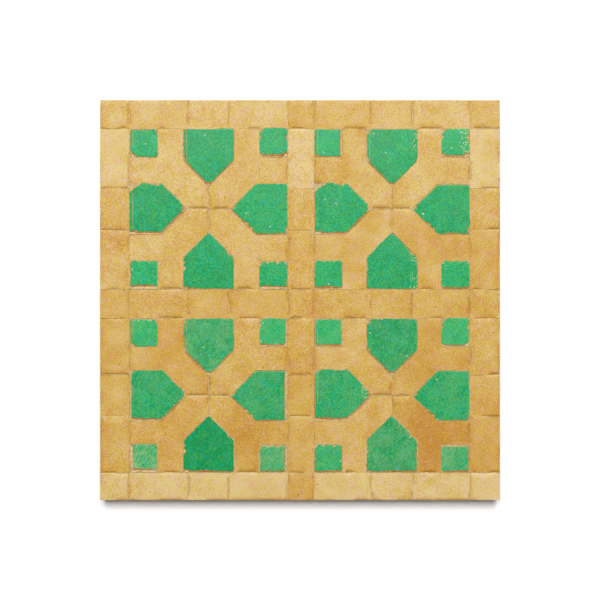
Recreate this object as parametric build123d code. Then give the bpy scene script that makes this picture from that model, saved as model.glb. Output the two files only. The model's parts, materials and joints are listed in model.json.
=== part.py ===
from build123d import *
import math
import os

# Hand-cut glazed mosaic panel in millimetres. Green squares and pointed green pentagons sit among
# ochre forks, strips and blocks. Each piece is chiselled narrower towards its back, so that the mortar
# cast behind the face rises between the pieces and keys them in. The origin is the middle of the
# panel's back, +Z comes out of the glazed face, +Y points to the north border and +X to the east.

# Courses of the layout from the west edge to the east edge
west_border = 22.0
west_motif = 119.0
middle_column = 19.5
east_motif = 117.0
east_border = 22.5

# Courses of the layout from the south edge to the north edge
south_border = 20.5
south_motif = 115.75
middle_row = 21.75
north_motif = 120.5
north_border = 21.5

# Pieces
green_square = 21.0
pentagon_width = 38.0
pentagon_length = 43.0
pentagon_point_angle = 90.0
short_strip = 31.0
piece_thickness = 11.0
undercut_angle = 8.0
arris = 0.5
nibbled_corner = 1.2

# Mortar and joints
bed_thickness = 9.0
bed_arris = 1.5
joint = 0.35
green_joint = 0.4
grout_recess = 1.0

# How far the rim pieces overhang before the panel is sawn to size
saw_waste = 4.0


def course_lines(*courses):
    """The lines between the courses, with zero in the middle of the panel."""
    lines = [-sum(courses) / 2]
    for course in courses:
        lines.append(lines[-1] + course)
    return lines


column_lines = course_lines(west_border, west_motif, middle_column, east_motif, east_border)
row_lines = course_lines(south_border, south_motif, middle_row, north_motif, north_border)
west_rim, east_rim = column_lines[0], column_lines[-1]
south_rim, north_rim = row_lines[0], row_lines[-1]
face_level = bed_thickness + piece_thickness
grout_level = face_level - grout_recess
green_setback = green_joint - joint / 2

standing = (Align.CENTER, Align.CENTER, Align.MIN)
sawn_panel = Box(east_rim - west_rim, north_rim - south_rim, face_level, align=standing)


def tessera(outline):
    """A piece that is widest at the foot of its dulled arris, with sides leaning in towards the back."""
    prism = extrude(Pos(0, 0, bed_thickness) * outline, amount=piece_thickness)
    sides = prism.faces().filter_by(Axis.Z, reverse=True)
    widest = Plane.XY.offset(face_level - arris)
    undercut = draft(sides, neutral_plane=widest, angle=-undercut_angle)
    face_edges = undercut.faces().sort_by(Axis.Z)[-1].edges()
    return chamfer(face_edges, length=arris)


def ochre_cell(west, east, south, north):
    """A strip or block in one cell of the layout, sawn flush where the cell meets the panel's rim."""
    west += -saw_waste if west == west_rim else joint / 2
    east += saw_waste if east == east_rim else -joint / 2
    south += -saw_waste if south == south_rim else joint / 2
    north += saw_waste if north == north_rim else -joint / 2
    middle = Pos((west + east) / 2, (south + north) / 2)
    return tessera(middle * Rectangle(east - west, north - south)) & sawn_panel


def strip_spans(start, end):
    """A long, a short and a long strip, the short one in the middle of the motif's side."""
    middle = (start + end) / 2
    return [
        (start, middle - short_strip / 2),
        (middle - short_strip / 2, middle + short_strip / 2),
        (middle + short_strip / 2, end),
    ]


def green_pentagon():
    """The pentagon's outline with its base on the X axis and its point towards -Y."""
    half = pentagon_width / 2
    shoulder = half / math.tan(math.radians(pentagon_point_angle / 2)) - pentagon_length
    corners = [(-half, 0), (half, 0), (half, shoulder), (0, -pentagon_length), (-half, shoulder)]
    return make_face(Polyline(*corners, close=True))


def nibbled(outline):
    """A green outline with its corners nibbled off."""
    return chamfer(outline.vertices(), nibbled_corner)


def with_joint(outline):
    """A green outline together with the joint around it."""
    return offset(outline, amount=green_joint, kind=Kind.INTERSECTION)


corner_signs = {"nw": (-1, 1), "ne": (1, 1), "sw": (-1, -1), "se": (1, -1)}
sides_in_turn = ("north", "west", "south", "east")


def motif(name, west, east, south, north):
    """The pieces of one motif: four corner squares, four pentagons pointing inwards, four forks."""
    centre = Pos((west + east) / 2, (south + north) / 2)
    half_width = (east - west) / 2
    half_height = (north - south) / 2
    made = {}

    pentagons = {}
    for turn, side in enumerate(sides_in_turn):
        reach = (half_height if side in ("north", "south") else half_width) - green_setback
        facing = Rot(0, 0, turn * 360 / len(sides_in_turn))
        pentagons[side] = facing * Pos(0, reach) * green_pentagon()
        made[f"green_pentagon_{name}_{side}"] = tessera(centre * nibbled(pentagons[side]))

    for corner, (across, up) in corner_signs.items():
        inset = green_setback + green_square / 2
        square_place = Pos(across * (half_width - inset), up * (half_height - inset))
        square = square_place * Rectangle(green_square, green_square)
        made[f"green_square_{name}_{corner}"] = tessera(centre * nibbled(square))

        quarter_place = Pos(across * half_width / 2, up * half_height / 2)
        fork = quarter_place * Rectangle(half_width - joint, half_height - joint)
        for green in (square, *pentagons.values()):
            fork -= with_joint(green)
        made[f"ochre_fork_{name}_{corner}"] = tessera(centre * fork)
    return made


# Motifs, in the second and fourth course each way
motif_columns = {"w": (column_lines[1], column_lines[2]), "e": (column_lines[3], column_lines[4])}
motif_rows = {"n": (row_lines[3], row_lines[4]), "s": (row_lines[1], row_lines[2])}
pieces = {}
for row_name, (south, north) in motif_rows.items():
    for column_name, (west, east) in motif_columns.items():
        pieces |= motif(row_name + column_name, west, east, south, north)

# Strips, along the borders and the two middle bands
strip_rows = {"south": row_lines[0:2], "middle_row": row_lines[2:4], "north": row_lines[4:6]}
strip_columns = {"west": column_lines[0:2], "middle_column": column_lines[2:4], "east": column_lines[4:6]}
for name, (south, north) in strip_rows.items():
    spans = [span for sides in motif_columns.values() for span in strip_spans(*sides)]
    pieces[f"ochre_strips_{name}"] = [ochre_cell(*span, south, north) for span in spans]
for name, (west, east) in strip_columns.items():
    spans = [span for sides in motif_rows.values() for span in strip_spans(*sides)]
    pieces[f"ochre_strips_{name}"] = [ochre_cell(west, east, *span) for span in spans]

# Blocks, where the borders and bands cross
corner_blocks = []
edge_blocks = []
for column_name, (west, east) in strip_columns.items():
    for row_name, (south, north) in strip_rows.items():
        block = ochre_cell(west, east, south, north)
        bands_crossed = (column_name == "middle_column") + (row_name == "middle_row")
        if bands_crossed == 2:
            pieces["ochre_centre_block"] = block
        elif bands_crossed == 1:
            edge_blocks.append(block)
        else:
            corner_blocks.append(block)
pieces["ochre_corner_blocks"] = corner_blocks
pieces["ochre_edge_blocks"] = edge_blocks

# Mortar, cast behind the pieces and up into the joints between them
bed = Box(east_rim - west_rim, north_rim - south_rim, grout_level, align=standing)
bed = chamfer(bed.faces().sort_by(Axis.Z)[0].edges(), length=bed_arris)
laid = [solid for made in pieces.values() for solid in (made if isinstance(made, list) else [made])]
pieces["mortar_bed"] = bed - laid

os.makedirs("parts", exist_ok=True)
for node, made in pieces.items():
    shape = Compound(children=made) if isinstance(made, list) else made
    export_step(shape, f"parts/{node}.step")
print(len(pieces), "nodes,", len(laid), "laid pieces, bed", round(pieces["mortar_bed"].volume), "mm3")
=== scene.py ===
# %% [markdown]
# A hand-cut mosaic panel, dressed for the camera. The real panel is made face down: small glazed
# terracotta pieces are chiselled to shape, laid out by hand and keyed together by mortar poured behind
# them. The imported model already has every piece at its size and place, so this lesson only adds what
# the chisel, the kiln and the mason's hands leave behind: wavy edges, chips, pillowed faces and glaze.

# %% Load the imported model
import json
import math
import random

import bmesh
import bpy
from mathutils import Matrix, Vector, kdtree, noise

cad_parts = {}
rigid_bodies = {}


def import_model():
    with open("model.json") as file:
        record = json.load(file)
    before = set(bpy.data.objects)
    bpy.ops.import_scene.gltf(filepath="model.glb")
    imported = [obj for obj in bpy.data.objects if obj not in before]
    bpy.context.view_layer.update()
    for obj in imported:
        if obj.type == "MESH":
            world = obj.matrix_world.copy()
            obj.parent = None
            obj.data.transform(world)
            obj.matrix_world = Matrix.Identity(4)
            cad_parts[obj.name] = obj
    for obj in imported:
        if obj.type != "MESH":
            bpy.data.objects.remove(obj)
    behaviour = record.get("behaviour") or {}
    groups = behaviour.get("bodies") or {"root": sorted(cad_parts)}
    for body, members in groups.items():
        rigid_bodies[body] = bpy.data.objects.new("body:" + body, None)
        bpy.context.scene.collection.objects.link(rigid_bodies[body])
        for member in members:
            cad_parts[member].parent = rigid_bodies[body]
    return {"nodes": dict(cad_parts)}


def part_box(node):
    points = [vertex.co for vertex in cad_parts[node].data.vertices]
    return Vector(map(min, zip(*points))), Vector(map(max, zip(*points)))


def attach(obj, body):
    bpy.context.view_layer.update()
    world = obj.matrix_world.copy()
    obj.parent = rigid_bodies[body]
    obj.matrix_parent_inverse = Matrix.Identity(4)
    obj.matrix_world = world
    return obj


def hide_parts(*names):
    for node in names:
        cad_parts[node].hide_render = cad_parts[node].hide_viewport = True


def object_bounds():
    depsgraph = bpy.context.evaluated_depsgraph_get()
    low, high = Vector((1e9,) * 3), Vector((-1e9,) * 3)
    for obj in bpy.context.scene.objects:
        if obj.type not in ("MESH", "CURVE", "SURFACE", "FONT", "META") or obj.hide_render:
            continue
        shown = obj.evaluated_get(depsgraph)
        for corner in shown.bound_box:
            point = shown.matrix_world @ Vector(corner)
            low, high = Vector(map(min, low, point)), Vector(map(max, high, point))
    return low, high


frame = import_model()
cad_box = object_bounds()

mm = 0.001
face_level = cad_box[1].z
rim_reach = cad_box[1].x
grout_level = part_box("mortar_bed")[1].z
print("nodes", len(frame["nodes"]), "face", face_level / mm, "grout", grout_level / mm)

# %% [markdown]
# The photograph looks straight down on the panel, with white all round it and a soft shadow under its
# south edge. A camera hung over the middle with a long lens gives that view with almost no perspective.
# The colours are judged against the photograph, so the view transform is the plain one.

# %% Camera
scene = bpy.context.scene
scene.view_settings.view_transform = "Standard"
picture_width = 450 * mm
camera_height = 1250 * mm
camera_data = bpy.data.cameras.new("camera")
camera_data.sensor_width = 36
camera_data.lens = camera_data.sensor_width * camera_height / picture_width
camera = bpy.data.objects.new("camera", camera_data)
camera.location = (0, 0, face_level + camera_height)
scene.collection.objects.link(camera)
scene.camera = camera
print("lens", camera_data.lens)

# %% [markdown]
# Two lamps stand to the north. The high one is broad and gives the short, soft shadow of the photograph.
# The low one rakes over the face, so that the lips that look towards it shine and those that look away
# go dark, which is how hand-cut work is shown best. An even white surrounding fills the rest.

# %% Light
lamp_distance = 4.0
surround_strength = 0.23


def north_lamp(name, elevation, power, width, depth):
    data = bpy.data.lights.new(name, "AREA")
    data.shape = "RECTANGLE"
    data.size = width
    data.size_y = depth
    data.energy = power
    towards = Vector((0, math.cos(elevation), math.sin(elevation)))
    lamp = bpy.data.objects.new(name, data)
    lamp.location = towards * lamp_distance
    lamp.rotation_euler = towards.to_track_quat("Z", "Y").to_euler()
    scene.collection.objects.link(lamp)
    print(name, "at", [round(place, 2) for place in lamp.location])


north_lamp("high_lamp", math.radians(73), power=159, width=2.2, depth=1.4)
north_lamp("raking_lamp", math.radians(26), power=103, width=2.2, depth=0.6)
surroundings = bpy.data.worlds.new("surroundings")
surroundings.use_nodes = True
surroundings.node_tree.nodes["Background"].inputs["Color"].default_value = (1, 1, 1, 1)
surroundings.node_tree.nodes["Background"].inputs["Strength"].default_value = surround_strength
scene.world = surroundings

# %% [markdown]
# Every finish below is a small network of nodes. A few helpers keep the networks readable: one adds a
# node and sets or links its sockets, others do arithmetic, make a soft mask or mix two colours. Colours
# are named by the levels that they show in the photograph, from 0 to 255. Dividing out the light that
# falls on the face turns them into the colour of the surface itself.

# %% Node helpers
light_on_face = 1.47


def add(tree, kind, sockets=None, **settings):
    made = tree.nodes.new("ShaderNode" + kind)
    for name, value in settings.items():
        setattr(made, name, value)
    for name, value in (sockets or {}).items():
        if isinstance(value, bpy.types.NodeSocket):
            tree.links.new(value, made.inputs[name])
        else:
            made.inputs[name].default_value = value
    return made


def maths(tree, operation, *values, clamp=False):
    return add(tree, "Math", dict(enumerate(values)), operation=operation, use_clamp=clamp).outputs[0]


def total(tree, first, *others):
    for other in others:
        first = maths(tree, "ADD", first, other)
    return first


def centred(tree, value, amount):
    """Noise from 0 to 1 turned into a swing of half the amount to either side."""
    return maths(tree, "MULTIPLY_ADD", value, amount, -amount / 2)


def mask(tree, value, start, end):
    sockets = {"Value": value, "From Min": start, "From Max": end}
    return add(tree, "MapRange", sockets, interpolation_type="SMOOTHSTEP").outputs["Result"]


def mixed(tree, share, under, over, strength=1.0):
    """Mixes one colour over another by a share, held back where the strength is below 1."""
    if strength < 1:
        share = maths(tree, "MULTIPLY", share, strength)
    return add(tree, "Mix", {0: share, 6: under, 7: over}, data_type="RGBA").outputs[2]


def shade(*levels):
    """A colour as the photograph shows it, turned into the linear colour of the surface."""
    linear = [((level / 255 + 0.055) / 1.055) ** 2.4 for level in levels]
    return (*(value / light_on_face for value in linear), 1)


def ramp(tree, value, *stops):
    made = add(tree, "ValToRGB", {"Fac": value})
    elements = made.color_ramp.elements
    while len(elements) < len(stops):
        elements.new(1)
    for element, (position, colour) in zip(elements, stops):
        element.position = position
        element.color = colour
    return made.outputs["Color"]


def attribute(tree, name):
    return add(tree, "Attribute", attribute_name=name).outputs["Fac"]


print("a mid grey surface is", [round(value, 3) for value in shade(128, 128, 128)])

# %% [markdown]
# The glazes share two effects, so each is built once as a node group. Clouds are the soft patches where
# the glaze pooled or ran thin in the kiln, with a finer grain over them and flecks of another tint. They
# are read in millimetres on Object coordinates, and each piece's own lot number shifts them, so that no
# patch crosses a joint.

# %% Group: kiln clouds
lot_spread = 40.0


def new_group(name, inputs, outputs):
    tree = bpy.data.node_groups.new(name, "ShaderNodeTree")
    for label, value in inputs.items():
        socket = tree.interface.new_socket(label, in_out="INPUT", socket_type="NodeSocketFloat")
        socket.default_value = value
    for label in outputs:
        tree.interface.new_socket(label, in_out="OUTPUT", socket_type="NodeSocketFloat")
    return tree, tree.nodes.new("NodeGroupInput").outputs, tree.nodes.new("NodeGroupOutput").inputs


def placed(tree, group, **values):
    made = tree.nodes.new("ShaderNodeGroup")
    made.node_tree = group
    for name, value in values.items():
        made.inputs[name.replace("_", " ").capitalize()].default_value = value
    return made.outputs


def millimetres(tree):
    position = add(tree, "TexCoord").outputs["Object"]
    return add(tree, "VectorMath", {0: position, "Scale": 1 / mm}, operation="SCALE").outputs[0]


def lot_noise(tree, size, detail, shift):
    lot = maths(tree, "MULTIPLY_ADD", attribute(tree, "lot"), lot_spread, shift)
    scale = maths(tree, "DIVIDE", 1.0, size)
    sockets = {"Vector": millimetres(tree), "W": lot, "Scale": scale, "Detail": detail, "Roughness": 0.55}
    return add(tree, "TexNoise", sockets, noise_dimensions="4D").outputs["Fac"]


clouds_group, group_in, group_out = new_group(
    "kiln_clouds",
    {"Cloud size": 8, "Grain size": 1.5, "Fleck size": 4},
    ["Clouds", "Drift", "Grain", "Flecks"],
)
cloud_layers = {
    "Clouds": lot_noise(clouds_group, group_in["Cloud size"], 3.0, 0.0),
    "Drift": lot_noise(clouds_group, group_in["Cloud size"], 2.0, 11.0),
    "Grain": lot_noise(clouds_group, group_in["Grain size"], 2.0, 23.0),
    "Flecks": lot_noise(clouds_group, group_in["Fleck size"], 2.0, 37.0),
}
for label, layer in cloud_layers.items():
    clouds_group.links.new(layer, group_out[label])
print("group", clouds_group.name, list(cloud_layers))

# %% [markdown]
# Pinholes are the other shared effect: gas bursts through the melting glaze and leaves small round
# craters that show the clay or fill with pale dust. A Voronoi texture gives scattered points, and only a
# share of its cells is allowed to have one.

# %% Group: pinholes
pinhole_spread = 900.0
full_depth_share = 0.45
pinhole_group, group_in, group_out = new_group(
    "pinholes",
    {"Spacing": 6, "Radius": 0.5, "Share": 0.2},
    ["Dots"],
)
lot_shift = maths(pinhole_group, "MULTIPLY", attribute(pinhole_group, "lot"), pinhole_spread)
shifted = add(pinhole_group, "VectorMath", {0: millimetres(pinhole_group), 1: lot_shift}, operation="ADD")
pinhole_scale = maths(pinhole_group, "DIVIDE", 1.0, group_in["Spacing"])
pinhole_cells = add(
    pinhole_group,
    "TexVoronoi",
    {"Vector": shifted.outputs[0], "Scale": pinhole_scale},
    voronoi_dimensions="2D",
)
from_point = maths(pinhole_group, "MULTIPLY", pinhole_cells.outputs["Distance"], group_in["Spacing"])
full_depth = maths(pinhole_group, "MULTIPLY", group_in["Radius"], full_depth_share)
dots = mask(pinhole_group, from_point, group_in["Radius"], full_depth)
cell_chance = add(pinhole_group, "SeparateColor", {0: pinhole_cells.outputs["Color"]}).outputs[0]
chosen = maths(pinhole_group, "LESS_THAN", cell_chance, group_in["Share"])
pinhole_group.links.new(maths(pinhole_group, "MULTIPLY", dots, chosen), group_out["Dots"])
print("group", pinhole_group.name)

# %% [markdown]
# Grit is for the two unglazed materials, the bare clay and the mortar: grains of sand of many tones, and
# open pores between them. One group serves both, with a different grain size in each.

# %% Group: grit
coarse_part = 0.22
grain_swing = 0.45
grain_shift = 0.22
grain_rise = 0.6
grit_group, group_in, group_out = new_group("grit", {"Grit size": 0.8}, ["Tone", "Pores", "Height"])
grit_scale = maths(grit_group, "DIVIDE", 1.0, group_in["Grit size"])
grains = add(grit_group, "TexVoronoi", {"Vector": millimetres(grit_group), "Scale": grit_scale})
grain_tone = add(grit_group, "SeparateColor", {0: grains.outputs["Color"]}).outputs[1]
coarse_scale = maths(grit_group, "MULTIPLY", grit_scale, coarse_part)
coarse = add(
    grit_group, "TexNoise", {"Vector": millimetres(grit_group), "Scale": coarse_scale, "Detail": 4.0}
).outputs["Fac"]
pores = mask(grit_group, coarse, 0.40, 0.30)
grit_tone = maths(grit_group, "MULTIPLY_ADD", grain_tone, grain_swing, coarse)
grain_height = maths(grit_group, "SUBTRACT", grain_rise, grains.outputs["Distance"])
grit_group.links.new(maths(grit_group, "SUBTRACT", grit_tone, grain_shift), group_out["Tone"])
grit_group.links.new(pores, group_out["Pores"])
grit_group.links.new(maths(grit_group, "SUBTRACT", grain_height, pores), group_out["Height"])
print("group", grit_group.name)

# %% [markdown]
# A material is then one Principled shader whose colour, roughness and bump come from those groups. The
# bare clay and the mortar differ only in colour and grain size, so one helper makes both. Clay shows
# wherever the chisel broke through the glaze: a dry salmon orange with sand in it. The mortar is lime,
# cement and sharp sand: a pale grey-beige with darker and lighter grains.


# %% Bare clay and mortar
def new_material(name, bump_distance):
    made = bpy.data.materials.new(name)
    made.use_nodes = True
    tree = made.node_tree
    shader = tree.nodes["Principled BSDF"]
    bump = add(tree, "Bump", {"Distance": bump_distance})
    tree.links.new(bump.outputs["Normal"], shader.inputs["Normal"])
    return made, tree, shader, bump


def gritty_material(name, grit_size, bump_distance, dark, middle, light, pore):
    made, tree, shader, bump = new_material(name, bump_distance)
    grit = placed(tree, grit_group, grit_size=grit_size)
    colour = ramp(tree, grit["Tone"], (0.15, dark), (0.5, middle), (0.85, light))
    colour = mixed(tree, grit["Pores"], colour, pore, strength=0.65)
    tree.links.new(colour, shader.inputs["Base Color"])
    tree.links.new(mask(tree, grit["Tone"], 1.4, -0.5), shader.inputs["Roughness"])
    tree.links.new(grit["Height"], bump.inputs["Height"])
    shader.inputs["Specular IOR Level"].default_value = 0.15
    print("material", name)
    return made


clay_material = gritty_material(
    "bare_terracotta",
    grit_size=0.55,
    bump_distance=0.12 * mm,
    dark=shade(194, 112, 50),
    middle=shade(220, 150, 82),
    light=shade(230, 176, 112),
    pore=shade(152, 82, 34),
)
mortar_material = gritty_material(
    "lime_mortar",
    grit_size=0.7,
    bump_distance=0.2 * mm,
    dark=shade(186, 156, 104),
    middle=shade(214, 186, 130),
    light=shade(226, 206, 158),
    pore=shade(150, 122, 80),
)

# %% [markdown]
# The green is a copper glaze: vivid, a little milky where it lies thick, with flecks that lean to blue
# and to yellow. Its tone is how the piece came out of the kiln, pushed to and fro by the clouds and most
# of all by the grain. One ramp turns that tone into a colour, and the flecks are mixed over it.

# %% Green glaze: colour
green_material, tree, shader, bump = new_material("green_glaze", 0.05 * mm)
clouds = placed(tree, clouds_group, cloud_size=11.0, grain_size=0.85, fleck_size=2.4)
tone = total(
    tree,
    attribute(tree, "firing"),
    centred(tree, clouds["Clouds"], 1.0),
    centred(tree, clouds["Grain"], 4.4),
)
green_colour = ramp(
    tree,
    tone,
    (0.0, shade(0, 142, 76)),
    (0.5, shade(0, 172, 100)),
    (1.0, shade(60, 194, 110)),
)
blue_flecks = mask(tree, clouds["Flecks"], 0.50, 0.72)
green_colour = mixed(tree, blue_flecks, green_colour, shade(10, 176, 138), strength=0.8)
yellow_flecks = mask(tree, clouds["Flecks"], 0.50, 0.28)
green_colour = mixed(tree, yellow_flecks, green_colour, shade(66, 174, 74), strength=0.8)
milky = mask(tree, clouds["Drift"], 0.35, 0.75)
green_colour = mixed(tree, milky, green_colour, shade(116, 182, 120), strength=0.14)
print("green colour from", len(tree.nodes), "nodes")

# %% [markdown]
# Use has left its marks on the greens. Some pieces are scuffed to a frosty bloom of slanting scratches.
# Some have a hairline close to their west edge, where the chisel's blow lifted the glaze, and some are
# flaked along one worn side. Values painted on each piece say how strong these marks are and where.

# %% Green glaze: marks of use
streaks = add(tree, "Mapping", {"Vector": millimetres(tree)}, vector_type="TEXTURE")
streaks.inputs["Rotation"].default_value = (0, 0, math.radians(52))
streaks.inputs["Scale"].default_value = (4.0, 0.8, 1.0)
scratch_noise = add(tree, "TexNoise", {"Vector": streaks.outputs[0], "Scale": 1.0, "Detail": 3.0})
scratches = mask(tree, scratch_noise.outputs["Fac"], 0.42, 0.72)
bloom = maths(tree, "MULTIPLY_ADD", mask(tree, clouds["Drift"], 0.35, 0.65), 0.45, scratches)
frosted = maths(tree, "MULTIPLY", attribute(tree, "frost"), bloom, clamp=True)
green_colour = mixed(tree, frosted, green_colour, shade(194, 206, 156))

hairline_place = maths(tree, "MULTIPLY_ADD", clouds["Grain"], 0.8, 2.0)
past_hairline = maths(tree, "SUBTRACT", attribute(tree, "west_edge"), hairline_place)
hairline = mask(tree, maths(tree, "ABSOLUTE", past_hairline), 0.36, 0.10)
hairline = maths(tree, "MULTIPLY", hairline, mask(tree, clouds["Drift"], 0.42, 0.54))
green_colour = mixed(tree, hairline, green_colour, shade(208, 166, 92), strength=0.7)

pits = placed(tree, pinhole_group, spacing=9.0, radius=0.66, share=0.1)["Dots"]
specks = placed(tree, pinhole_group, spacing=3.2, radius=0.4, share=0.07)["Dots"]
green_colour = mixed(tree, specks, green_colour, shade(160, 210, 156), strength=0.4)
green_colour = mixed(tree, pits, green_colour, shade(240, 214, 184))
flakes = placed(tree, pinhole_group, spacing=1.5, radius=0.75, share=0.4)["Dots"]
flakes = maths(tree, "MULTIPLY", flakes, mask(tree, attribute(tree, "worn_edge"), 1.0, 0.3))
flakes = maths(tree, "MULTIPLY", flakes, mask(tree, clouds["Clouds"], 0.42, 0.56))
green_colour = mixed(tree, flakes, green_colour, shade(232, 222, 178), strength=0.75)
tree.links.new(green_colour, shader.inputs["Base Color"])
print("green colour and marks from", len(tree.nodes), "nodes")

# %% [markdown]
# Scuffed glaze is dull, so the frosty places are also rougher. The clouds make the glaze ripple a little,
# and the pits, flakes and hairlines are sunk into it. All of that is far finer than the mesh, so a Bump
# node does it.

# %% Green glaze: roughness and bump
green_roughness = maths(tree, "MULTIPLY_ADD", clouds["Grain"], 0.2, 0.2)
green_roughness = maths(tree, "MULTIPLY_ADD", frosted, 0.3, green_roughness)
tree.links.new(green_roughness, shader.inputs["Roughness"])
holes = maths(tree, "MAXIMUM", pits, flakes)
green_height = maths(tree, "MULTIPLY_ADD", holes, -1.5, clouds["Clouds"])
tree.links.new(maths(tree, "SUBTRACT", green_height, hairline), bump.inputs["Height"])
shader.inputs["Specular IOR Level"].default_value = 0.1
print("material", green_material.name)

# %% [markdown]
# The ochre is an iron glaze, sandy and matt. Patches of gold, cream and a pinkish tan drift over each piece.
# Each piece is painted palest at its north edge, a painted highlight where the north lamps fall. It is
# painted deepest along its other edges, where it turns to a burnt orange, which is partly painted shade and
# partly the glaze's own edge colour. The flecks follow the tone, or they would look like spots on a dark
# piece.

# %% Ochre glaze: colour
ochre_material, tree, shader, bump = new_material("ochre_glaze", 0.1 * mm)
clouds = placed(tree, clouds_group, cloud_size=14.0, grain_size=0.9, fleck_size=3.6)
# The rim value shifts the tone: paler at the north edge as painted light, deeper at the other edges as
# painted shade
tone = total(
    tree,
    attribute(tree, "firing"),
    maths(tree, "MULTIPLY", attribute(tree, "rim"), 0.16),
    centred(tree, clouds["Clouds"], 1.0),
    centred(tree, clouds["Grain"], 2.0),
)
ochre_colour = ramp(
    tree,
    tone,
    (0.0, shade(232, 207, 146)),
    (0.3, shade(223, 188, 111)),
    (0.6, shade(215, 170, 75)),
    (1.0, shade(198, 136, 48)),
)
pink_flecks = mask(tree, clouds["Flecks"], 0.48, 0.68)
pink = ramp(
    tree,
    tone,
    (0.0, shade(234, 200, 166)),
    (0.6, shade(219, 166, 106)),
    (1.0, shade(203, 136, 74)),
)
ochre_colour = mixed(tree, pink_flecks, ochre_colour, pink, strength=0.75)
olive_flecks = mask(tree, clouds["Flecks"], 0.48, 0.30)
olive = ramp(
    tree,
    tone,
    (0.0, shade(230, 208, 120)),
    (0.6, shade(213, 174, 50)),
    (1.0, shade(196, 140, 30)),
)
ochre_colour = mixed(tree, olive_flecks, ochre_colour, olive, strength=0.75)
# Painted shade and burnt tone: edges away from the north lamps are painted a deep burnt orange, partly the
# glaze's own edge colour
burnt_and_shaded_rim = mask(tree, attribute(tree, "rim"), 0.5, 0.95)
ochre_colour = mixed(tree, burnt_and_shaded_rim, ochre_colour, shade(194, 126, 44), strength=0.6)
print("ochre colour from", len(tree.nodes), "nodes")

# %% [markdown]
# The ochre is speckled all over with sand, and pinholes show the dark clay in it. It is a dry glaze, so it
# is rougher than the green, and its grain stands up under a raking light.

# %% Ochre glaze: specks, roughness and bump
pits = placed(tree, pinhole_group, spacing=10.0, radius=0.7, share=0.06)["Dots"]
specks = placed(tree, pinhole_group, spacing=2.4, radius=0.45, share=0.12)["Dots"]
ochre_colour = mixed(tree, specks, ochre_colour, shade(186, 138, 78), strength=0.35)
ochre_colour = mixed(tree, pits, ochre_colour, shade(150, 100, 52), strength=0.6)
tree.links.new(ochre_colour, shader.inputs["Base Color"])
tree.links.new(maths(tree, "MULTIPLY_ADD", clouds["Grain"], 0.3, 0.40), shader.inputs["Roughness"])
ochre_height = maths(tree, "MULTIPLY_ADD", clouds["Clouds"], 1.4, clouds["Grain"])
tree.links.new(maths(tree, "MULTIPLY_ADD", pits, -2.0, ochre_height), bump.inputs["Height"])
shader.inputs["Specular IOR Level"].default_value = 0.15
print("material", ochre_material.name)

# %% [markdown]
# Now the pieces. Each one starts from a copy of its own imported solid, so its size and its undercut
# flanks, which sit in the mortar, stay exact. Only its head is remodelled: the top is cut off a little
# below the face, and new rows of edges are drawn up and inwards from the cut. A copied solid is loose
# triangles, so its doubles are merged and its flat faces joined before anything else.

# %% Helper: one open-headed copy for each solid of a node
head_depth = 1.6 * mm
merge_distance = 0.001 * mm
flat_angle = math.radians(1)
painted_values = ("lot", "firing", "frost", "rim", "west_edge", "worn_edge")


def merged_copy(node):
    bm = bmesh.new()
    bm.from_mesh(frame["nodes"][node].data)
    for name in painted_values:
        bm.verts.layers.float.new(name)
    bmesh.ops.remove_doubles(bm, verts=bm.verts, dist=merge_distance)
    bmesh.ops.dissolve_limit(bm, angle_limit=flat_angle, verts=bm.verts, edges=bm.edges)
    return bm


def islands(bm):
    """The connected groups of vertices, as sets of indices."""
    bm.verts.index_update()
    unseen = set(bm.verts)
    while unseen:
        island = set()
        front = [min(unseen, key=lambda vert: vert.index)]
        while front:
            vert = front.pop()
            if vert in island:
                continue
            island.add(vert)
            front += [edge.other_vert(vert) for edge in vert.link_edges]
        unseen -= island
        yield {vert.index for vert in island}


def open_headed_solids(node):
    whole = merged_copy(node)
    for island in list(islands(whole)):
        solid = whole.copy()
        strangers = [vert for vert in solid.verts if vert.index not in island]
        bmesh.ops.delete(solid, geom=strangers, context="VERTS")
        bmesh.ops.bisect_plane(
            solid,
            geom=solid.verts[:] + solid.edges[:] + solid.faces[:],
            dist=merge_distance,
            plane_co=(0, 0, face_level - head_depth),
            plane_no=(0, 0, 1),
            clear_outer=True,
        )
        yield solid
    whole.free()


trial = next(open_headed_solids("ochre_centre_block"))
print("an open-headed block has", len(trial.verts), "vertices and", len(trial.faces), "faces")
trial.free()

# %% [markdown]
# A chisel never leaves a sharp corner, so the upright edges of the open head are bevelled round, apart
# from those that the saw cut along the rim of the panel. The rim of the opening is then divided finely
# enough to carry the waves and chips of a hand-cut edge.

# %% Helpers: round corners, even steps
on_rim_margin = 0.01 * mm
corner_turn = math.radians(20)
upright_limit = 0.5


def on_rim(point):
    return max(abs(point.x), abs(point.y)) > rim_reach - on_rim_margin


def is_hand_cut_corner(edge):
    if len(edge.link_faces) != 2 or not edge.is_convex:
        return False
    upright = all(abs(face.normal.z) < upright_limit for face in edge.link_faces)
    sawn = any(on_rim(vert.co) for vert in edge.verts)
    return upright and not sawn and edge.calc_face_angle() > corner_turn


def round_corners(bm, radius):
    bmesh.ops.bevel(
        bm,
        geom=[edge for edge in bm.edges if is_hand_cut_corner(edge)],
        offset=radius,
        offset_type="OFFSET",
        segments=3,
        profile=0.5,
        affect="EDGES",
        material=-1,
    )


def divided_opening(bm, step):
    """Divides the edges round the opening to about one step each."""
    by_cuts = {}
    for edge in bm.edges:
        if edge.is_boundary:
            by_cuts.setdefault(round(edge.calc_length() / step) - 1, []).append(edge)
    for cuts, edges in by_cuts.items():
        if cuts > 0:
            bmesh.ops.subdivide_edges(bm, edges=edges, cuts=cuts)
    return [edge for edge in bm.edges if edge.is_boundary]


trial = next(open_headed_solids("ochre_centre_block"))
round_corners(trial, 1.0 * mm)
print("steps round a block", len(divided_opening(trial, 0.5 * mm)))
trial.free()

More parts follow.
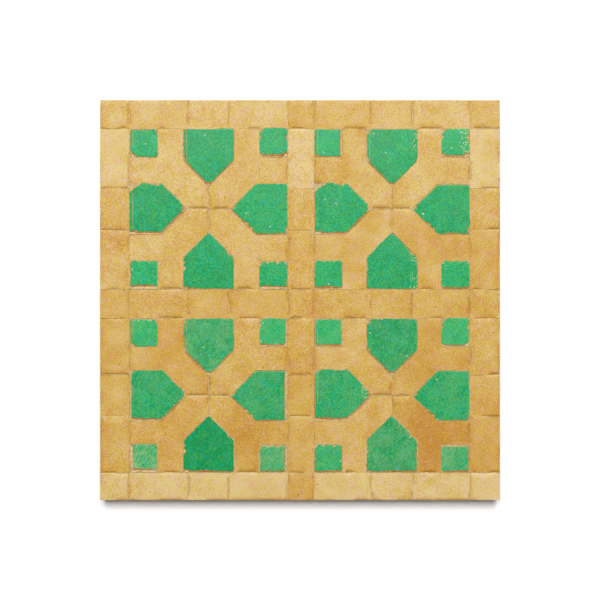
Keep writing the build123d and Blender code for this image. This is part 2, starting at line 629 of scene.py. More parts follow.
# %% [markdown]
# Drawing up a row means extruding the open edges and then moving each new vertex in from the edge and
# up to its level. The way that each side faces is read once, from the flanks, and is handed from each
# row to the next. Where the saw cut the piece, it stays on the rim. A convex green piece is worked along
# spokes from its middle instead: a vertex that keeps to its own spoke can never fold the outline over.

# %% Helpers: rows drawn up from the opening
sawn_share = 0.1
least_slant = 0.4


def middle_of(verts):
    lows = [min(vert.co[axis] for vert in verts) for axis in (0, 1)]
    highs = [max(vert.co[axis] for vert in verts) for axis in (0, 1)]
    return Vector(((lows[0] + highs[0]) / 2, (lows[1] + highs[1]) / 2, 0))


def outward_ways(bm, row):
    """For each vertex of a row, the way out that it moves along and the way that its side faces."""
    bm.normal_update()
    ways = {}
    for vert in {vert for edge in row for vert in edge.verts}:
        facing = Vector((vert.normal.x, vert.normal.y, 0)).normalized()
        for axis in (0, 1):
            if abs(vert.co[axis]) > rim_reach - on_rim_margin:
                facing[axis] *= sawn_share
        ways[vert] = (facing, facing)
    return ways


def as_spokes(ways, middle):
    spokes = {}
    for vert, (_, facing) in ways.items():
        spoke = Vector((vert.co.x - middle.x, vert.co.y - middle.y, 0)).normalized()
        spokes[vert] = (spoke / max(least_slant, spoke.dot(facing)), facing)
    return spokes


def drawn_row(bm, row, outward, material):
    """Extrudes a row of edges. The new vertices are where the old ones are, with the same ways out."""
    made = bmesh.ops.extrude_edge_only(bm, edges=row)["geom"]
    upper = {item for item in made if isinstance(item, bmesh.types.BMVert)}
    new_outward = {}
    for vert in upper:
        for edge in vert.link_edges:
            below = edge.other_vert(vert)
            if below not in upper:
                new_outward[vert] = outward[below]
    new_row = []
    for item in made:
        if isinstance(item, bmesh.types.BMFace):
            item.material_index = material
        elif isinstance(item, bmesh.types.BMEdge) and all(vert in upper for vert in item.verts):
            new_row.append(item)
    return new_row, new_outward


def move_in(vert, direction, distance):
    vert.co.x -= direction.x * distance
    vert.co.y -= direction.y * distance


print("rows keep", sawn_share, "of their inset on the sawn rim")

# %% [markdown]
# Green pieces were nibbled to shape with a hammer, and each place in the motif has its own habit: a
# stepped corner, a row of dents along the top, a step in a slanting side. These tables hold the habits in
# millimetres, by the piece's place in its motif, and a few pieces that were cut short by name.

# %% Nibbles of the green pieces
# A broken corner: which one, and how far along and down
broken_corners = {
    "square_nw": [("sw", 4.2, 1.4), ("sw", 2.6, 2.8), ("sw", 1.2, 4.2), ("ne", 1.2, 2.2)],
    "square_ne": [
        ("nw", 3.6, 1.4),
        ("nw", 1.4, 3.4),
        ("sw", 1.6, 0.9),
        ("se", 2.8, 1.0),
        ("se", 1.2, 2.2),
    ],
    "square_sw": [("nw", 2.2, 1.0), ("nw", 0.9, 2.6), ("ne", 1.6, 0.9)],
    "square_se": [("nw", 2.4, 1.2), ("nw", 1.0, 3.0), ("ne", 1.6, 1.2)],
    "pentagon_north": [("nw", 1.4, 3.8), ("nw", 3.4, 0.8)],
    "pentagon_west": [("nw", 7.4, 1.5), ("nw", 4.4, 3.2), ("nw", 1.7, 5.4), ("sw", 3.8, 0.7)],
    "pentagon_south": [("sw", 2.8, 0.9)],
    "pentagon_east": [("se", 0.8, 6.0)],
}
# A dent in a straight side: which one, how far from its middle, how wide and how deep
side_dents = {
    "square_ne": [("w", 3.9, 1.2, 1.8), ("e", 3.4, 1.4, 1.2)],
    "square_sw": [
        ("n", -3.6, 1.5, 1.8),
        ("n", 0.6, 1.4, 1.0),
        ("n", 4.4, 1.6, 1.9),
        ("w", -0.8, 1.4, 1.0),
    ],
    "square_se": [("n", -4.2, 1.5, 2.1), ("n", -1.2, 1.2, 1.2), ("n", 3.2, 1.8, 2.2)],
    "pentagon_north": [("w", -2.2, 2.4, 1.2), ("s", 0.2, 4.6, 0.9)],
    "pentagon_west": [
        ("n", -5.0, 1.4, 1.2),
        ("n", -2.2, 1.4, 1.5),
        ("n", 0.4, 1.6, 2.4),
        ("e", 0.0, 60.0, 1.4),
    ],
    "pentagon_south": [("w", -5.4, 1.9, 1.7), ("w", -1.2, 1.3, 1.0)],
}
# A side that was cut short, so that mortar makes up the difference: which one, and by how much
short_sides = {
    "green_square_nw_sw": [("s", 0.8)],
    "green_square_nw_se": [("s", 0.9)],
    "green_square_ne_nw": [("e", 0.8)],
    "green_square_se_nw": [("e", 0.8), ("s", 0.8)],
    "green_square_sw_sw": [("w", 2.2), ("s", 0.6)],
    "green_square_se_se": [("n", 1.2)],
    "green_square_sw_ne": [("e", 0.8)],
    "green_square_sw_se": [("e", 1.4), ("n", 0.6)],
    "green_pentagon_sw_west": [("w", 0.9)],
    "green_pentagon_sw_east": [("e", 1.4)],
}
# A step in a slanting side: which way it opens, and where its inner corner is from the middle
slant_steps = {
    "pentagon_north": [("se", 13.8, -7.6)],
    "pentagon_south": [("ne", 14.2, 5.6)],
    "pentagon_east": [("sw", -9.0, -10.4), ("sw", -5.4, -14.2), ("nw", -19.4, 0.8)],
}
print("roles with broken corners", len(broken_corners), "and with dents", len(side_dents))

# %% [markdown]
# A nibble is a box laid over the outline, and every vertex slides in along its spoke to the first box that
# the spoke runs into. That way a nibble of any depth takes a clean bite, and the outline never crosses
# itself.

# %% Helpers: nibbles as boxes
beyond = 60 * mm
signs_of = {"n": 1, "s": -1, "w": -1, "e": 1}


def outer_span(sign, near):
    return sorted((near, sign * beyond))


def side_box(side, half, depth, lengthwise):
    """A box that reaches in over one side of a piece."""
    reach = half.x if side in "ew" else half.y
    across = outer_span(signs_of[side], signs_of[side] * (reach - depth * mm))
    return (across, lengthwise) if side in "ew" else (lengthwise, across)


def nibble_boxes(node, role, half, vigour):
    """The nibbles of a piece as boxes round its middle, each a span in X and a span in Y."""
    boxes = []
    for (up, across), along, down in broken_corners.get(role, ()):
        x_sign, y_sign = signs_of[across], signs_of[up]
        x_span = outer_span(x_sign, x_sign * (half.x - along * mm * vigour))
        y_span = outer_span(y_sign, y_sign * (half.y - down * mm * vigour))
        boxes.append((x_span, y_span))
    for side, along, width, depth in side_dents.get(role, ()):
        lengthwise = [(along - width / 2) * mm, (along + width / 2) * mm]
        boxes.append(side_box(side, half, depth * vigour, lengthwise))
    for side, depth in short_sides.get(node, ()):
        boxes.append(side_box(side, half, depth, [-beyond, beyond]))
    for (up, across), x, y in slant_steps.get(role, ()):
        boxes.append((outer_span(signs_of[across], x * mm), outer_span(signs_of[up], y * mm)))
    return boxes


def share_left(spoke, boxes):
    """How much of a spoke is left before it runs into a box."""
    share = 1.0
    for box in boxes:
        enter, leave = 0.0, 1.0
        for (low, high), along in zip(box, spoke):
            along = along or merge_distance
            ends = sorted((low / along, high / along))
            enter = max(enter, ends[0])
            leave = min(leave, ends[1])
        if enter < leave:
            share = min(share, enter)
    return share


trial_boxes = nibble_boxes("green_square_nw_nw", "square_nw", Vector((10.5, 10.5, 0)) * mm, 1.0)
print("a corner square has", len(trial_boxes), "nibbles")

# %% [markdown]
# No edge that was cut by hand is straight or even. Smooth noise makes it wander, and each use of the noise
# reads its own lane, counted from the piece's seed, so that no two follow each other. A search tree tells
# any place on a face how far the nearest edge is and which way. What is set for the north, east, south and
# west sides is blended by the way that an edge faces.

# %% Helpers: noise, nearest edge and sides
lanes = {
    "wave": 0,
    "roughness": 3,
    "nick": 7,
    "ragged": 13,
    "sway": 17,
    "bite": 19,
    "swell": 29,
    "pillow": 41,
    "patch": 53,
}
least_weight = 0.01


def wander(point, size, seed):
    """Smooth noise from 0 to 1, seen from above, in patches of about the given size."""
    return 0.5 + 0.5 * noise.noise(Vector((point.x / size, point.y / size, seed)))


def lane_noise(point, size, cut, lane):
    return wander(point, size, cut["seed"] + lanes[lane])


def pillow(share):
    """A quarter round: 1 at the very edge, 0 from the end of the rounding inwards."""
    reach = 1 - min(max(share, 0.0), 1.0)
    return 1 - math.sqrt(1 - reach * reach)


def nearest_finder(points):
    """A function that gives the way and the distance to the nearest of the points, seen from above."""
    tree = kdtree.KDTree(len(points))
    for number, point in enumerate(points):
        tree.insert((point.x, point.y, 0), number)
    tree.balance()

    def find(place):
        flat = Vector((place.x, place.y, 0))
        nearest, _, distance = tree.find(flat)
        return (nearest - flat).normalized(), distance

    return find


def share_by_side(way, shares):
    """Blends what is set for the north, east, south and west sides by the way to the edge."""
    weights = (max(0.0, way.y), max(0.0, way.x), max(0.0, -way.y), max(0.0, -way.x))
    squares = [weight * weight for weight in weights]
    return sum(share * square for share, square in zip(shares, squares)) / max(sum(squares), least_weight)


print("a side that faces south-east takes", share_by_side(Vector((0.7, -0.7, 0)), (0, 1, 2, 3)))

# %% [markdown]
# A flat face has to be cut up before it can swell and dip. Slicing it with planes gives an even grid, and
# keeps the outline as it is. The same helper later cuts up the faces of the mortar.

# %% Helper: a face cut into a grid
slice_snap = 0.02 * mm


def sliced(bm, faces, pitch, axes=(0, 1)):
    """Cuts flat faces into a grid and returns its vertices."""
    corners = list({vert for face in faces for vert in face.verts})
    geometry = corners + list({edge for face in faces for edge in face.edges}) + faces
    lows = [min(vert.co[axis] for vert in corners) for axis in range(3)]
    highs = [max(vert.co[axis] for vert in corners) for axis in range(3)]
    for axis in axes:
        count = int((highs[axis] - lows[axis]) / pitch)
        start = (highs[axis] + lows[axis] - count * pitch) / 2
        normal = Vector([float(axis == other) for other in range(3)])
        for number in range(count + 1):
            cut = bmesh.ops.bisect_plane(
                bm,
                geom=geometry,
                dist=slice_snap,
                plane_co=normal * (start + number * pitch),
                plane_no=normal,
            )
            geometry = cut["geom"]
    return [item for item in geometry if isinstance(item, bmesh.types.BMVert)]


trial = bmesh.new()
bmesh.ops.create_grid(trial, x_segments=1, y_segments=1, size=5 * mm)
print("a 10 mm face cut every 2 mm has", len(sliced(trial, trial.faces[:], 2 * mm)), "vertices")
trial.free()

# %% [markdown]
# The hand-cut edge takes its shape in steps. First each vertex gets its wave and slides in to its nibble.
# Then the row is worn, which rounds the corners of the nibbles. Last come the fine nicks of the hammer.
# How strongly an edge shows also comes and goes in patches along it.

# %% Helpers: the hand-cut edge
wave_size = 6 * mm
sway_size = 24 * mm
nick_size = 1.1 * mm
patch_size = 13 * mm
least_patch, most_patch = 0.05, 2.0
most_share = 1.9


def patch_at(point, cut):
    """How strongly an edge shows here: it comes and goes in patches, and is less where it is calmed."""
    patch = 1 + cut["patchiness"] * (lane_noise(point, patch_size, cut, "patch") - 0.5)
    return min(most_patch, max(least_patch, patch)) * cut["calm"](point)


def side_share(point, facing, cut):
    return min(most_share, share_by_side(facing, cut["sides"]) * patch_at(point, cut))


def cut_edge(vert, way, facing, cut, middle, boxes):
    """Gives one vertex of the hand-cut edge its wave and its nibble."""
    wave = cut["wave"] * lane_noise(vert.co, wave_size, cut, "wave")
    wave += cut["sway"] * lane_noise(vert.co, sway_size, cut, "sway")
    inset = wave - cut["overhang"] - (1 - cut["calm"](vert.co)) * cut["calm_overhang"]
    move_in(vert, way, abs(inset) if on_rim(vert.co) else inset)
    spoke = Vector((vert.co.x - middle.x, vert.co.y - middle.y))
    share = share_left(spoke, boxes) if boxes else 1.0
    drop = cut["edge_drop"] * side_share(vert.co, facing, cut)
    vert.co = (middle.x + spoke.x * share, middle.y + spoke.y * share, face_level - drop)


def wear(row, times):
    """Rounds the corners of a row: each time, every vertex moves half way to between its neighbours."""
    beside = {}
    for edge in row:
        for vert in edge.verts:
            beside.setdefault(vert, []).append(edge.other_vert(vert))
    for _ in range(times):
        places = {vert: (first.co + second.co) / 2 for vert, (first, second) in beside.items()}
        for vert, place in places.items():
            vert.co = vert.co.lerp(place, 0.5)


def nick_edge(vert, way, cut):
    """Moves a vertex in by a fine nick. Some stretches of an edge are rougher than others."""
    roughness = lane_noise(vert.co, 3 * wave_size, cut, "roughness")
    move_in(vert, way, cut["nick"] * roughness * lane_noise(vert.co, nick_size, cut, "nick"))


print("waves of", wave_size / mm, "mm and nicks of", nick_size / mm, "mm")

# %% [markdown]
# The shape of a head follows from a few numbers, called its cut: how far the edge wanders, how wide the
# broken bevel is, how much the face is pillowed. Above its foot come three rows: the hand-cut edge, the
# broken bevel, and the lip of the glaze, which the face closes.

# %% Helpers: edge and lip of a head
glaze_slot, clay_slot, mortar_slot = 0, 1, 2
bite_start = 0.7
least_ragged, ragged_swing = 0.6, 0.8


def raised_edge(bm, row, outward, cut, middle, boxes):
    """Draws up the hand-cut edge."""
    row, outward = drawn_row(bm, row, outward, cut["shelf_slot"])
    for vert, (way, facing) in outward.items():
        cut_edge(vert, way, facing, cut, middle, boxes)
    wear(row, cut["wear"])
    for vert, (way, _) in outward.items():
        nick_edge(vert, way, cut)
    return row, outward


def closed_lip(bm, row, outward, cut):
    """Draws the broken bevel and the lip in from the edge and closes the face.

    Also returns, for each vertex of the two rows, the way that its side faces, how far in it is and how
    much deeper than the pillowed face it lies.
    """
    rings = {}
    row, outward = drawn_row(bm, row, outward, cut["bevel_slot"])
    for vert, (way, facing) in outward.items():
        bite = max(0.0, lane_noise(vert.co, wave_size, cut, "bite") - bite_start) / (1 - bite_start)
        ragged = least_ragged + ragged_swing * lane_noise(vert.co, nick_size, cut, "ragged")
        width = cut["bevel_width"] * side_share(vert.co, facing, cut) * ragged + cut["bite"] * bite
        move_in(vert, way, width)
        rings[vert] = (facing, width, cut["lip_drop"])
    row, outward = drawn_row(bm, row, outward, glaze_slot)
    for vert, (way, facing) in outward.items():
        move_in(vert, way, cut["lip_width"])
        rings[vert] = (facing, cut["bevel_width"] + cut["lip_width"], 0.0)
    face = bmesh.ops.edgeloop_fill(bm, edges=row)["faces"][0]
    face.material_index = glaze_slot
    return face, rings


print("the bevel bites where its noise passes", bite_start)

# %% [markdown]
# The face inside the lip is pillowed towards its edges, and each of its vertices learns how near to the rim
# it is, for the glaze. The glaze is painted paler near the north edge and deeper near the others, as painted
# light and shade. With that a whole head can be built: opening, foot at the level of the mortar, edge, lip
# and face.

# %% Helpers: build one head
edge_step = 0.5 * mm
face_pitch = 1.25 * mm
rim_band = 4.5 * mm
# Rim tone signs for the north, east, south and west sides: the north edge painted paler as painted light,
# the others deeper as painted shade and burnt glaze
rim_light_and_shade_signs = (-1, 0.95, 1, 0.9)
swell_size = 11 * mm
least_softness = 0.5
narrowest_pillow = 0.4


def pillow_face(bm, face, rings, edge_points, cut):
    """Cuts a face into a grid, pillows it and paints how near each place is to the rim, signed by side: the
    north edge for painted light, the other edges for painted shade and burnt tone.
    """
    find_edge = nearest_finder(edge_points)
    rim_light_and_shade_layer = bm.verts.layers.float["rim"]
    for vert in set(sliced(bm, [face], face_pitch)) | set(rings):
        facing, depth = find_edge(vert.co)
        lip_drop = 0.0
        if vert in rings:
            ring_facing, ring_depth, lip_drop = rings[vert]
            if not on_rim(vert.co):
                facing, depth = ring_facing, ring_depth
        share = side_share(vert.co, facing, cut)
        softness = least_softness + lane_noise(vert.co, 3 * wave_size, cut, "pillow")
        width = cut["pillow_width"] * softness * (narrowest_pillow + (1 - narrowest_pillow) * share)
        drop = cut["pillow_drop"] * share * pillow(depth / width) + lip_drop
        swell = cut["swell"] * lane_noise(vert.co, swell_size, cut, "swell")
        vert.co.z = face_level - drop - swell
        nearness = max(0.0, 1 - depth / rim_band)
        # Painted light and shade: negative by the north edge, which is painted paler, and positive by the
        # other edges, which are painted deeper
        vert[rim_light_and_shade_layer] = nearness * share_by_side(facing, rim_light_and_shade_signs) * min(1.0, patch_at(vert.co, cut))


def build_head(bm, cut, boxes=()):
    """Closes an open-headed solid and returns the points of its edge and the vertices of its foot."""
    middle = middle_of(bm.verts)
    for face in bm.faces:
        face.material_index = clay_slot
    row = divided_opening(bm, edge_step)
    outward = outward_ways(bm, row)
    if boxes:
        outward = as_spokes(outward, middle)
    row, outward = drawn_row(bm, row, outward, clay_slot)
    for vert in outward:
        vert.co.z = face_level - cut["foot_drop"]
    foot = set(bm.verts)
    row, outward = raised_edge(bm, row, outward, cut, middle, boxes)
    edge_points = [vert.co.copy() for vert in outward if not on_rim(vert.co)]
    face, rings = closed_lip(bm, row, outward, cut)
    pillow_face(bm, face, rings, edge_points, cut)
    return edge_points, foot


print("face grid", face_pitch / mm, "mm, edge step", edge_step / mm, "mm")

# %% [markdown]
# A laid piece is never quite in line. The head is turned, shifted, tipped and sunk by the hand that set
# it, while its foot stays where the mortar holds it, and the shelf between them makes up the difference.
# Seeded draws make every piece different and every run the same. Pieces that the saw trimmed have no slack
# and stay in line with the rim.


# %% Helpers: lay a head by hand, paint its values
def swing(draw, reach):
    return draw.uniform(-reach, reach)


def lay_by_hand(bm, foot, draw, play, aside=(0.0, 0.0), slack=1.0):
    """Moves a head within its play: a turn in degrees, a shift and a sinking in mm, a tip as a slope."""
    turned = Matrix.Rotation(slack * math.radians(swing(draw, play["turn"])), 3, "Z")
    across = aside[0] + swing(draw, play["shift"])
    up = aside[1] + swing(draw, play["shift"])
    shift = slack * Vector((across, up, 0)) * mm
    tip = Vector((swing(draw, play["tip"]), swing(draw, play["tip"]), 0))
    sink = draw.uniform(0.0, play["sink"]) * mm
    middle = middle_of(bm.verts)
    for vert in bm.verts:
        if vert not in foot:
            arm = Vector((vert.co.x - middle.x, vert.co.y - middle.y, 0))
            vert.co += turned @ arm - arm + shift
            vert.co.z -= sink + max(0.0, tip.dot(arm))


def paint(bm, values):
    """Gives every vertex its values, each a number or a function of the place."""
    for name, value in values.items():
        layer = bm.verts.layers.float[name]
        for vert in bm.verts:
            vert[layer] = value(vert.co) if callable(value) else value


print("painted values", painted_values)

# %% [markdown]
# To finish a piece, its solids are joined into one mesh. The glaze is shaded smooth and ends in a sharp
# line where the clay begins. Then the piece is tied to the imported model: it rides on the one body, stands
# for its node and takes that node's finish.


# %% Helpers: finish a piece
def tied_object(bm, node, materials):
    mesh = bpy.data.meshes.new("laid_" + node)
    bm.to_mesh(mesh)
    bm.free()
    for material in materials:
        mesh.materials.append(material)
    piece = bpy.data.objects.new("laid_" + node, mesh)
    scene.collection.objects.link(piece)
    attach(piece, "root")
    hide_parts(node)


def laid_piece(node, solids, materials):
    joined = bmesh.new()
    for solid in solids:
        part = bpy.data.meshes.new("part")
        solid.to_mesh(part)
        joined.from_mesh(part)
        bpy.data.meshes.remove(part)
        solid.free()
    bmesh.ops.recalc_face_normals(joined, faces=joined.faces)
    for face in joined.faces:
        face.smooth = face.material_index == glaze_slot
    for edge in joined.edges:
        edge.smooth = len({face.material_index for face in edge.link_faces}) == 1
    tied_object(joined, node, materials)


print("slots", glaze_slot, clay_slot, mortar_slot)

# %% [markdown]
# The green pieces. Their glaze ends in a broken bevel of bare clay, and where the outline falls short of
# its place, mortar fills the gap. The south side shows most clay. Each place in the motif was also laid a
# little off in its own way.

# %% Green pieces: cut and laying
green_cut = {
    "foot_drop": 0.2 * mm,
    "edge_drop": 0.5 * mm,
    "shelf_slot": mortar_slot,
    "bevel_slot": clay_slot,
    "overhang": 1.3 * mm,
    "calm_overhang": 0.0,
    "wear": 5,
    "wave": 0.8 * mm,
    "sway": 0.6 * mm,
    "nick": 0.8 * mm,
    "bevel_width": 0.9 * mm,
    "bite": 0.4 * mm,
    "lip_width": 0.3 * mm,
    "lip_drop": 0.04 * mm,
    "pillow_width": 1.6 * mm,
    "pillow_drop": 0.10 * mm,
    "swell": 0.10 * mm,
    "sides": (0.45, 0.6, 1.3, 0.5),
    "patchiness": 1.2,
    "calm": lambda point: 1.0,
}
laid_off = {
    "pentagon_west": (0.0, 0.7),
    "pentagon_north": (0.0, 0.1),
    "pentagon_east": (0.1, -0.3),
    "square_nw": (0.2, -0.5),
    "square_sw": (0.2, 0.6),
    "square_ne": (-0.2, 0.9),
    "square_se": (-0.3, 0.3),
}
green_play = {"turn": 0.8, "shift": 0.3, "tip": 0.01, "sink": 0.12}
corner_span = (0.3, 0.6)
vigour_span = (0.4, 1.15)
most_seed = 100
print("places laid off", len(laid_off))

# %% [markdown]
# Squares and pentagons came from different firings, and a few pieces are darker or brighter than the rest.
# Three places in the motif have the hairline along their west edge, pieces of the south motifs are scuffed
# or have a faint bloom, and some pieces have a worn side.

# %% Green pieces: firing and marks
hairline_roles = ("square_nw", "pentagon_north", "pentagon_west")
# A side where the glaze flaked: which one, and how far in
worn_sides = {
    "green_pentagon_ne_north": ("e", 5.0),
    "green_pentagon_ne_south": ("e", 7.0),
    "green_pentagon_se_west": ("e", 9.0),
    "green_square_ne_ne": ("e", 12.0),
    "green_square_ne_se": ("w", 4.0),
    "green_square_nw_se": ("e", 3.0),
    "green_square_sw_nw": ("n", 3.0),
    "green_square_sw_ne": ("w", 3.0),
    "green_square_se_ne": ("s", 3.0),
}
far_off = 100.0
scuffed = {
    "green_square_sw_sw": 0.52,
    "green_square_sw_se": 0.3,
    "green_square_se_se": 0.3,
    "green_pentagon_se_south": 0.2,
    "green_pentagon_sw_north": 0.2,
    "green_pentagon_sw_south": 0.0,
}
south_bloom = 0.1
green_firing = {"square": 0.6, "pentagon": 0.4}
green_firing_spread = 0.1
fired_apart = {
    "green_pentagon_sw_south": 0.02,
    "green_square_sw_nw": 0.78,
    "green_square_sw_ne": 0.78,
    "green_square_se_nw": 0.78,
    "green_square_se_ne": 0.8,
}


def depth_from(side, low, high, unit):
    """A function that gives how far a point lies from one side of a box, in the given unit."""
    axis = 0 if side in "ew" else 1
    edge = high[axis] if side in "ne" else low[axis]
    return lambda point: abs(point[axis] - edge) / unit


def painted_green(node, role, draw):
    """What is painted on a green piece: its lot and firing, and where its marks are."""
    low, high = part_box(node)
    firing = green_firing[role.split("_")[0]] + swing(draw, green_firing_spread)
    values = {
        "lot": draw.random(),
        "firing": fired_apart.get(node, firing),
        "frost": scuffed.get(node, south_bloom if high.y < 0 else 0.0),
        "west_edge": far_off,
        "worn_edge": far_off,
    }
    if role in hairline_roles:
        values["west_edge"] = depth_from("w", low, high, mm)
    if node in worn_sides:
        side, reach = worn_sides[node]
        values["worn_edge"] = depth_from(side, low, high, reach * mm)
    return values


print("scuffed", len(scuffed), "worn", len(worn_sides), "fired apart", len(fired_apart))

# %% [markdown]
# Now each green piece is opened, cut, laid and painted in turn. The points of all their edges are kept,
# because the ochre pieces and the mortar are worked to fit them.

# %% Green pieces
green_edges = []
green_nodes = sorted(node for node in frame["nodes"] if node.startswith("green"))
for node in green_nodes:
    draw = random.Random(node)
    _, kind, _, place = node.split("_")
    role = kind + "_" + place
    low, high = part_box(node)
    solid = next(open_headed_solids(node))
    round_corners(solid, draw.uniform(*corner_span) * mm)
    boxes = nibble_boxes(node, role, (high - low) / 2, draw.uniform(*vigour_span))
    edge_points, foot = build_head(solid, dict(green_cut, seed=draw.uniform(0, most_seed)), boxes)
    green_edges += edge_points
    lay_by_hand(solid, foot, draw, green_play, aside=laid_off.get(role, (0.0, 0.0)))
    paint(solid, painted_green(node, role, draw))
    laid_piece(node, [solid], [green_material, clay_material, mortar_material])
print("green pieces", len(green_nodes), "edge points", len(green_edges))

# %% [markdown]
# The ochre pieces. They are softer to look at: the glaze runs over a pillowed edge right down into a
# joint that is hardly open. Beside a green piece the mason pressed the two glazes flush, so the ochre edge
# is calmed there.

# %% Ochre pieces: cut and laying
ochre_cut = {
    "foot_drop": 1.05 * mm,
    "edge_drop": 0.6 * mm,
    "shelf_slot": clay_slot,
    "bevel_slot": glaze_slot,
    "overhang": 0.38 * mm,
    "calm_overhang": 0.2 * mm,
    "wear": 0,
    "wave": 0.22 * mm,
    "sway": 0.0,
    "nick": 0.16 * mm,
    "bevel_width": 0.5 * mm,
    "bite": 0.15 * mm,
    "lip_width": 0.5 * mm,
    "lip_drop": 0.0,
    "swell": 0.14 * mm,
    "patchiness": 7.5,
}
strip_sides = ((0.2, 0.8), (0.2, 1.0), (0.1, 1.2), (0.2, 1.0))
fork_sides = ((0.3, 0.9), (0.5, 1.5), (0.8, 2.1), (0.3, 1.0))
pillow_width_span = (1.8, 3.0)
pillow_drop_span = (0.45, 0.65)
ochre_corner = 1.0 * mm
ochre_play = {"turn": 0.25, "shift": 0.1, "tip": 0.008, "sink": 0.3}
calm_start = 1.5 * mm
calm_end = 4.0 * mm
least_calm = 0.12
find_green = nearest_finder(green_edges)


def calm_by_greens(point):
    """Small beside the green pieces and 1 away from them."""
    share = (find_green(point)[1] - calm_start) / (calm_end - calm_start)
    return min(1.0, max(least_calm, share))


print("calm beside the greens for", calm_start / mm, "mm")

# %% [markdown]
# The ochres came out of the kiln in many tones, pale along the north and south borders and in the
# north-west, and deep gold to the south. A fork shows its own tone in its elbow. Towards its ends, where
# the glaze ran thin, all forks come nearer to a common tone.

# %% Ochre pieces: firing
fork_firing = {
    "nw": {"nw": 0.22, "ne": 0.36, "sw": 0.36, "se": 0.27},
    "ne": {"nw": 0.46, "ne": 0.29, "sw": 0.38, "se": 0.56},
    "sw": {"nw": 0.62, "ne": 0.49, "sw": 0.63, "se": 0.77},
    "se": {"nw": 0.46, "ne": 0.78, "sw": 0.50, "se": 1.02},
}
north_firing = 0.34
south_firing = 0.14
band_firing = 0.52
north_fade = 1.5
common_firing = 0.48
evening = 0.6
even_reach = 30 * mm
ochre_firing_spread = 0.06


def ochre_firing(node, middle):
    """The tone of a piece, from pale to deep: forks by name, the rest by where they lie."""
    if node.startswith("ochre_fork_"):
        motif, place = node.split("_")[2:]
        return fork_firing[motif][place]
    if node in ("ochre_strips_north", "ochre_strips_south", "ochre_corner_blocks"):
        return north_firing if middle.y > 0 else south_firing
    if "strips" not in node:
        return band_firing
    return band_firing - north_fade * max(0.0, middle.y / rim_reach) ** 4


def evened(firing, middle):
    """A tone that is a fork's own in its middle and is drawn towards the common one away from it."""
    pull = evening * (common_firing - firing)
    return lambda point: firing + pull * (point.xy - middle.xy).length / even_reach


print("forks fired from", fork_firing["nw"]["nw"], "to", fork_firing["se"]["se"])

# %% [markdown]
# Strips and blocks share nodes, so a node may hold several solids. Each is opened, cut, laid and painted by
# itself, as the mason did, and they are joined when the node is finished.

# %% Ochre pieces
ochre_edges = []
ochre_nodes = sorted(node for node in frame["nodes"] if node.startswith("ochre"))
for node in ochre_nodes:
    draw = random.Random(node)
    is_fork = node.startswith("ochre_fork_")
    solids = []
    for solid in open_headed_solids(node):
        middle = middle_of(solid.verts)
        slack = 0.0 if any(on_rim(vert.co) for vert in solid.verts) else 1.0
        round_corners(solid, ochre_corner)
        cut = dict(ochre_cut, seed=draw.uniform(0, most_seed), calm=calm_by_greens)
        cut["pillow_width"] = draw.uniform(*pillow_width_span) * mm
        cut["pillow_drop"] = draw.uniform(*pillow_drop_span) * mm
        cut["sides"] = [draw.uniform(*span) for span in (fork_sides if is_fork else strip_sides)]
        edge_points, foot = build_head(solid, cut)
        ochre_edges += edge_points
        lay_by_hand(solid, foot, draw, ochre_play, slack=slack)
        lot = draw.random()
        firing = ochre_firing(node, middle) + swing(draw, ochre_firing_spread)
        paint(solid, {"lot": lot, "firing": evened(firing, middle) if is_fork else firing})
        solids.append(solid)
    laid_piece(node, solids, [ochre_material, clay_material])
print("ochre nodes", len(ochre_nodes), "edge points", len(ochre_edges))

# %% [markdown]
# The mortar bed is copied too. Its pockets stay exact, but the grout in the joints is worked by hand: it
# rises a little beside the green pieces and sinks between the ochre ones. Its sides and back are cut into
# a grid and pressed in unevenly, as cast mortar is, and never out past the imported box.

# %% Mortar bed
grout_pitch = 2.5 * mm
cast_pitch = 5 * mm
cast_depth = 0.3 * mm
green_reach = 1.8 * mm
sharp_turn = math.radians(35)
same_way = 0.99
grout_patch, grout_seed = 9 * mm, 8.0
fill_patch, fill_seed = 22 * mm, 5.0
cast_patch = 8 * mm
least_green_fill, green_fill_swing = 0.55, 0.3
ochre_fill_part = 0.4
# Each cast side of the bed, by the way that it faces, with the two axes that its grid is cut along
cast_sides = {
    (1, 0, 0): (1, 2),
    (-1, 0, 0): (1, 2),
    (0, 1, 0): (0, 2),
    (0, -1, 0): (0, 2),
    (0, 0, -1): (0, 1),
}


def flat_faces(bm, direction, reach):
    """The faces that look in a direction and lie at the given reach that way."""
    found = []
    for face in bm.faces:
        out = face.calc_center_median().dot(direction)
        if face.normal.dot(direction) > same_way and abs(out - reach) < on_rim_margin:
            found.append(face)
    return found


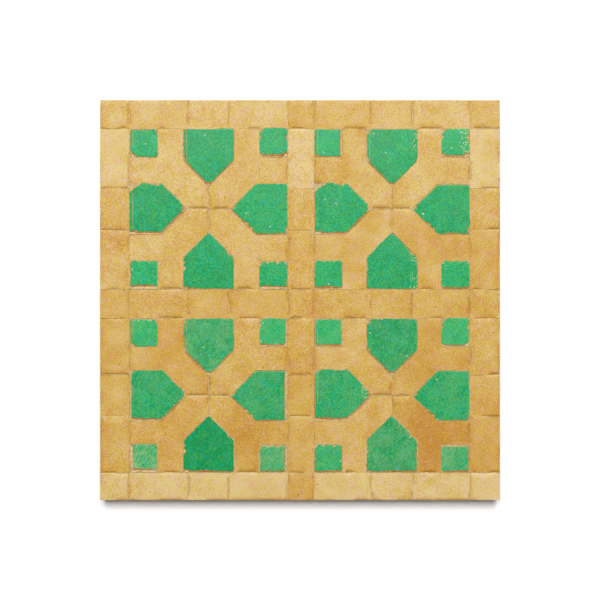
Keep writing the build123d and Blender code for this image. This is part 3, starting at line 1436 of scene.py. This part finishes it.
bed = merged_copy("mortar_bed")
bed.normal_update()
find_ochre = nearest_finder(ochre_edges)
grout = sliced(bed, flat_faces(bed, Vector((0, 0, 1)), grout_level), grout_pitch)
for vert in grout:
    by_green = max(0.0, 1 - find_green(vert.co)[1] / green_reach)
    along_light = find_ochre(vert.co)[0].x ** 2
    patch = wander(vert.co, grout_patch, grout_seed)
    green_fill = least_green_fill + green_fill_swing * wander(vert.co, fill_patch, fill_seed)
    ochre_fill = ochre_fill_part * (along_light + patch)
    vert.co.z = grout_level + (by_green * green_fill + (1 - by_green) * ochre_fill) * mm
for direction, axes in cast_sides.items():
    out = Vector(direction)
    reach = rim_reach if out.z == 0 else 0.0
    for vert in sliced(bed, flat_faces(bed, out, reach), cast_pitch, axes):
        vert.co -= out * cast_depth * (0.5 + 0.5 * noise.noise(vert.co / cast_patch))
for face in bed.faces:
    face.smooth = True
for edge in bed.edges:
    edge.smooth = edge.calc_face_angle(math.pi) < sharp_turn
print("grout vertices", len(grout), "open edges", sum(len(edge.link_faces) != 2 for edge in bed.edges))
tied_object(bed, "mortar_bed", [mortar_material])

# %% [markdown]
# The panel lies on a plain white table. It is only there to catch the shadow.

# %% Floor
floor_size = 12.0
floor_drop = 0.05 * mm
floor_mesh = bpy.data.meshes.new("floor")
bm = bmesh.new()
bmesh.ops.create_grid(bm, x_segments=1, y_segments=1, size=floor_size)
bmesh.ops.translate(bm, verts=bm.verts, vec=(0, 0, -floor_drop))
bm.to_mesh(floor_mesh)
bm.free()
floor = bpy.data.objects.new("floor", floor_mesh)
scene.collection.objects.link(floor)
floor_material, tree, shader, bump = new_material("pale_floor", 0.02 * mm)
paper = add(tree, "TexNoise", {"Vector": millimetres(tree), "Scale": 0.8}).outputs["Fac"]
paper_white = ramp(tree, paper, (0.0, (0.93, 0.93, 0.93, 1)), (1.0, (0.97, 0.97, 0.97, 1)))
tree.links.new(paper_white, shader.inputs["Base Color"])
tree.links.new(maths(tree, "MULTIPLY_ADD", paper, 0.1, 0.85), shader.inputs["Roughness"])
tree.links.new(paper, bump.inputs["Height"])
shader.inputs["Specular IOR Level"].default_value = 0.1
floor_mesh.materials.append(floor_material)
print("floor", 2 * floor_size, "m wide")

# %% [markdown]
# Last comes a count: the number of triangles in each laid piece, their total, and the piece with the most.

# %% Measure and finish
triangles = {}
for piece in scene.objects:
    if piece.name.startswith("laid_"):
        triangles[piece.name] = sum(len(polygon.vertices) - 2 for polygon in piece.data.polygons)
largest = max(triangles, key=triangles.get)
print("pieces", len(triangles), "triangles", sum(triangles.values()), "most in", largest, triangles[largest])
